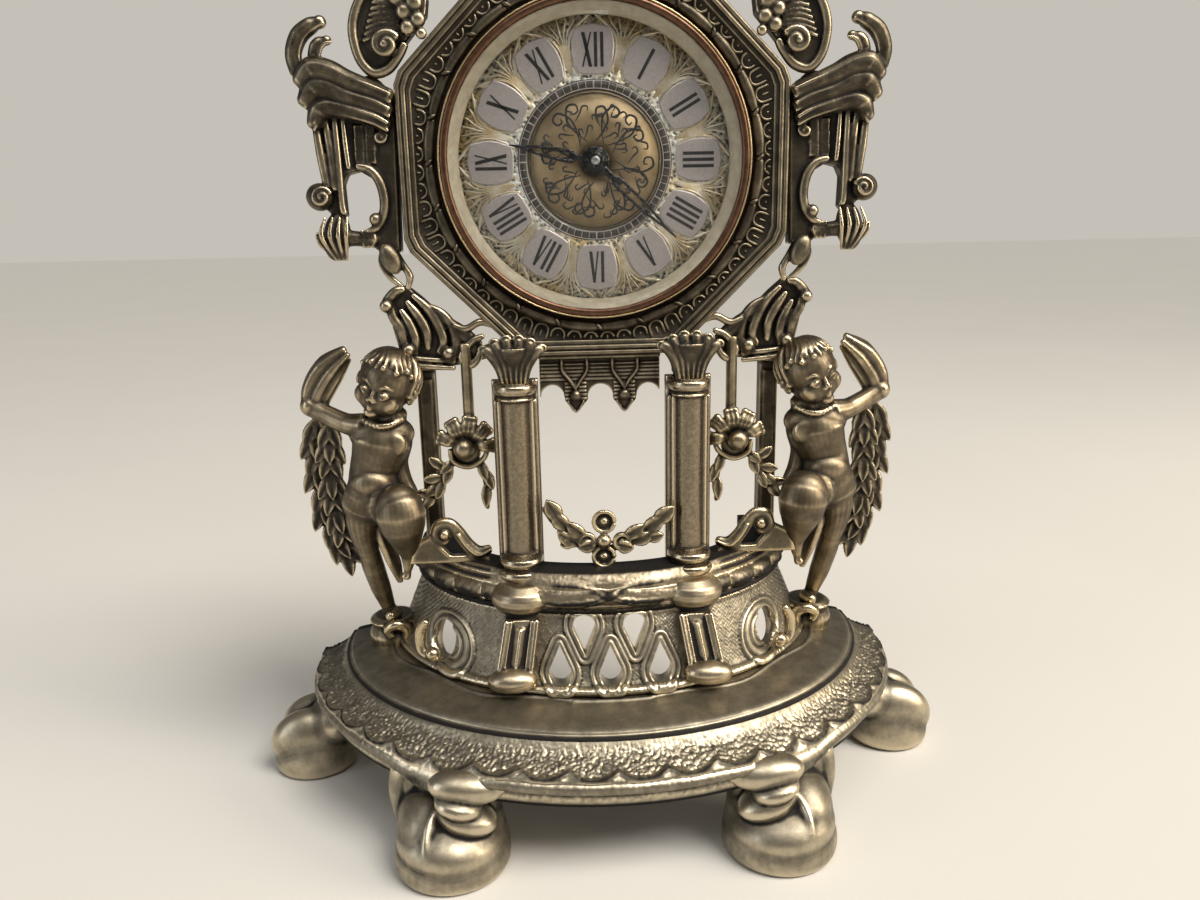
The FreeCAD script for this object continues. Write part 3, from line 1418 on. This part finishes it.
def make_screws():
    screws = []
    head_y = head_back_y + flange_thickness
    for x, z in screw_places():
        screw = rod_y(screw_shank_radius, x, z, head_back_y - screw_length + fit, head_y)
        screw = screw.fuse(rod_y(screw_head_radius, x, z, head_y, head_y + screw_head_height))
        slot = Part.makeBox(2 * screw_head_radius, screw_head_height, slot_width,
                            Vector(x - screw_head_radius, head_y + screw_head_height * 0.5, z - slot_width / 2))
        screws.append(screw.cut(slot))
    return Part.makeCompound(screws)


def save(name, shape):
    shape.exportStep(os.path.join("parts", name + ".step"))


def save_pair(name, shape):
    save(name + "_right", shape)
    save(name + "_left", mirrored(shape))


def both(shape):
    return shape, mirrored(shape)


def build():
    os.makedirs("parts", exist_ok=True)
    plinth = make_plinth()
    save("base_plinth", plinth)
    save_pair("front_foot", make_front_foot(plinth))
    save_pair("side_foot", make_side_foot(plinth))
    wall = make_wall(plinth)
    save("gallery_wall", wall)
    pedestal = make_pedestal(plinth, wall)
    column = make_column(pedestal)
    ledge = make_ledge(both(pedestal) + both(column))
    save("gallery_ledge", ledge)
    save_pair("pedestal", pedestal)
    save_pair("column", column)
    frame = make_frame()
    save("dial_frame", frame)
    save_pair("capital", make_capital(column, frame))
    pilaster = make_pilaster(ledge, frame)
    save_pair("pilaster", pilaster)
    save("rope_ring", make_rope())
    save("valance", make_valance(frame, both(column)))
    arm = make_arm(frame)
    crest = make_crest(frame)
    save_pair("side_arm", arm)
    save("crest", crest)
    save("finial", make_finial())
    save_pair("shell", make_shell(frame, arm, crest))
    bracket = make_bracket(frame, pilaster, arm)
    save_pair("bracket", bracket)
    cherub = make_cherub((plinth, wall, ledge, pilaster, frame, arm, bracket))
    save_pair("cherub", cherub)
    save_pair("festoon", make_festoon(cherub))
    save_pair("garland", make_garland(frame, pilaster, cherub, column, bracket))
    save("centre_swag", make_swag(both(column)))
    save("bezel", make_bezel())
    save("glass", make_glass())
    save("dial_surround", make_surround())
    save("dial", make_dial())
    save("minute_hand", make_hand(minute_hand_length, minute_hand_half_width, minute_turn, minute_collar_radius,
                                  arbor_radius + running, minute_hand_y))
    save("hour_hand", make_hand(hour_hand_length, hour_hand_half_width, hour_turn, hour_collar_radius,
                                hour_pipe_radius + running, hour_hand_y))
    save("hand_nut", make_nut())
    save("movement_case", make_case())
    save("back_cover", make_cover())
    small = [third_place, escape_place, lever_place, balance_place]
    save("front_plate", make_plate(front_plate_y, plate_radius, small + [motion_place],
                                   [(centre_place, arbor_radius), (barrel_place, winding_radius)]))
    save("back_plate", make_plate(back_plate_y, plate_radius, small + [click_place],
                                  [(centre_place, arbor_radius), (barrel_place, winding_radius)]))
    save("plate_pillars", make_pillars())
    save("mainspring_barrel", make_barrel())
    save("mainspring", make_mainspring())
    save("winding_arbor", make_winding_arbor())
    save("click", make_click())
    save("centre_wheel", make_centre())
    save("third_wheel", make_third())
    save("escape_wheel", make_escape())
    save("pallet_lever", make_lever())
    save("balance_wheel", make_balance())
    save("balance_spring", make_hairspring())
    save("motion_wheel", make_motion())
    save("hour_wheel", make_hour_wheel())
    save("winding_key", make_key())
    save("setting_knob", make_knob())
    save("case_screws", make_screws())


build()
